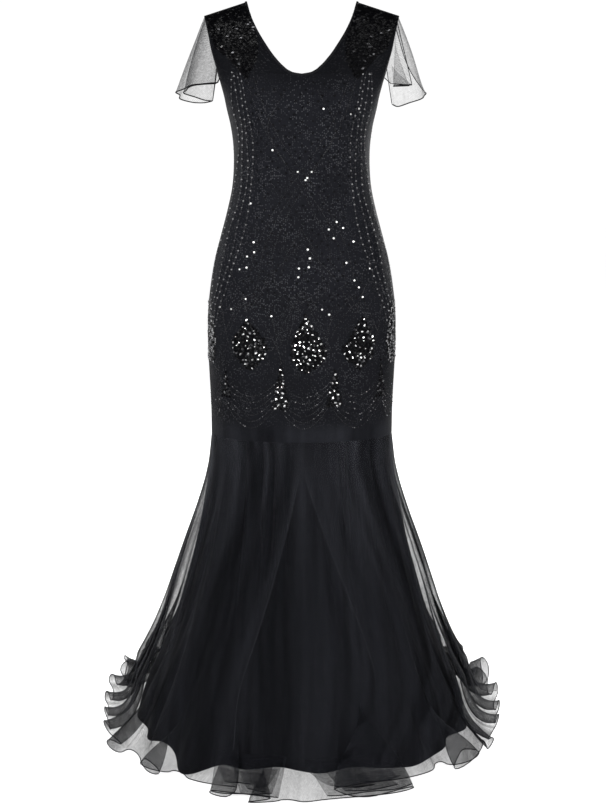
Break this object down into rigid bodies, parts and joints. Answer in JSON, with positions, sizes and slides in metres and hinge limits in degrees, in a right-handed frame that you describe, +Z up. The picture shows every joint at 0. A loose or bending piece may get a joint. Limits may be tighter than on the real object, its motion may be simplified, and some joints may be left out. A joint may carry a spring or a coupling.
{
  "type": "evening gown",
  "caption": "Floor-length black beaded evening gown with a V neck, tulle flutter sleeves and a mermaid skirt of tulle over lining, held out as worn.",
  "frame": {"origin": "the middle of the two shoulder seams, where the wearer's shoulders hold the gown up", "axes": "+Z up, -Y towards the gown's front, +X towards the wearer's left"},
  "size_m": [0.8177, 0.8286, 1.4212],
  "materials": {
    "beaded_net": "matt black net mounted on lining, sewn all over with black sequins and seed beads",
    "binding": "matt black bias strip",
    "lining": "soft black satin with a low sheen",
    "tulle": "fine black net, see-through in one layer, nearly opaque where folds stack"
  },
  "bodies": {
    "root": {"body_front": "beaded_net", "body_back": "beaded_net", "neck_binding_front": "binding", "neck_binding_back": "binding", "sleeve_right": "tulle", "sleeve_left": "tulle", "lining_front": "lining", "lining_back": "lining", "overskirt_front": "tulle", "overskirt_back": "tulle", "godet_front": "tulle"}
  },
  "joints": []
}
